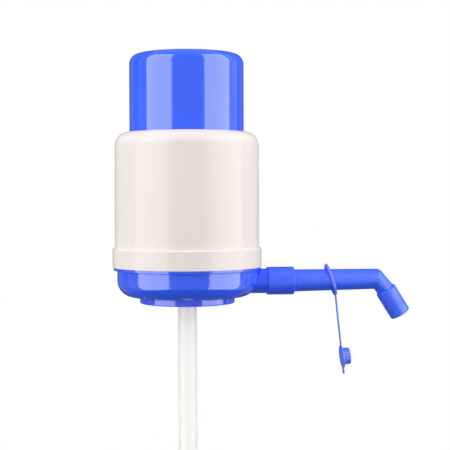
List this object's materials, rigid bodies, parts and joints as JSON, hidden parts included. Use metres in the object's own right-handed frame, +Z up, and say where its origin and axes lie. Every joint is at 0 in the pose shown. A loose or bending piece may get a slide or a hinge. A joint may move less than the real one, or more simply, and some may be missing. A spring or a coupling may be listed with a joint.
{
  "type": "bottle hand pump",
  "caption": "Hand pump for a large water bottle: press cap over a bellows in a round housing, neck collar, dip tube, and a bent swivelling spout with a tethered plug.",
  "frame": {"origin": "centre of the mouth of the neck socket, at the lowest face of the collar's ring", "axes": "+Z up along the dip tube's axis, +X along the spout, +Y to the left of the spout"},
  "size_m": [0.2005, 0.0992, 0.6247],
  "materials": {
    "blue_plastic": "glossy moulded",
    "ivory_plastic": "satin moulded",
    "tube_plastic": "milky",
    "bellows_plastic": "milky soft",
    "inner_plastic": "plain moulded",
    "seal_rubber": "matte",
    "valve_rubber": "matte",
    "tether_plastic": "soft satin",
    "screw_steel": "zinc plated"
  },
  "bodies": {
    "pump_base": {"base_collar": "blue_plastic", "neck_seal": "seal_rubber", "water_gallery": "inner_plastic", "downpipe_seal": "seal_rubber", "tube_seal": "seal_rubber", "foot_plate": "inner_plastic", "foot_ring": "inner_plastic", "foot_screws": "screw_steel", "bellows": "bellows_plastic", "upper_housing": "ivory_plastic", "nipple_seal": "seal_rubber", "spout_coupling": "blue_plastic", "dip_tube_1": "tube_plastic", "dip_tube_2": "tube_plastic", "dip_tube_3": "tube_plastic", "tube_joiner_1": "tube_plastic", "tube_joiner_2": "tube_plastic"},
    "cap": {"push_cap": "blue_plastic", "head_plate": "inner_plastic", "head_ring": "inner_plastic", "head_screws": "screw_steel"},
    "bottle_valve": {"bottle_flap": "valve_rubber"},
    "intake_valve": {"intake_flap": "valve_rubber"},
    "spout": {"spout_tube": "blue_plastic", "spout_seals": "seal_rubber", "spout_nozzle": "blue_plastic"},
    "ring": {"tether_ring": "tether_plastic"},
    "strap": {"tether_strap": "tether_plastic"},
    "plug": {"spout_plug": "tether_plastic"}
  },
  "joints": [
    {"name": "cap_press", "type": "slide", "parent": "pump_base", "child": "cap", "axis": [0, 0, -1], "range_m": [0, 0.045], "stiffness_N_per_m": 400, "springref_m": -0.02, "deforming": ["bellows"]},
    {"name": "bottle_valve_lift", "type": "slide", "parent": "pump_base", "child": "bottle_valve", "axis": [0, 0, -1], "range_m": [0, 0.0012], "stiffness_N_per_m": 8, "springref_m": -0.002},
    {"name": "intake_valve_lift", "type": "slide", "parent": "cap", "child": "intake_valve", "axis": [0, 0, -1], "range_m": [0, 0.0012], "stiffness_N_per_m": 8, "springref_m": -0.002},
    {"name": "spout_swivel", "type": "hinge", "parent": "pump_base", "child": "spout", "pos_m": [0.0625, 0, 0.014], "axis": [1, 0, 0], "continuous": true},
    {"name": "ring_turn", "type": "hinge", "parent": "spout", "child": "ring", "pos_m": [0.09705, 0, 0.01424], "axis": [1, 0, 0.0094], "continuous": true},
    {"name": "strap_bend", "type": "hinge", "parent": "ring", "child": "strap", "pos_m": [0.10042, 0, 0.00325], "axis": [0, 1, 0], "range_deg": [-40, 40], "stiffness_Nm_per_rad": 0.0006},
    {"name": "plug_bend", "type": "hinge", "parent": "strap", "child": "plug", "pos_m": [0.10392, 0, -0.03007], "axis": [0, 1, 0], "range_deg": [-40, 40], "stiffness_Nm_per_rad": 0.0006}
  ]
}
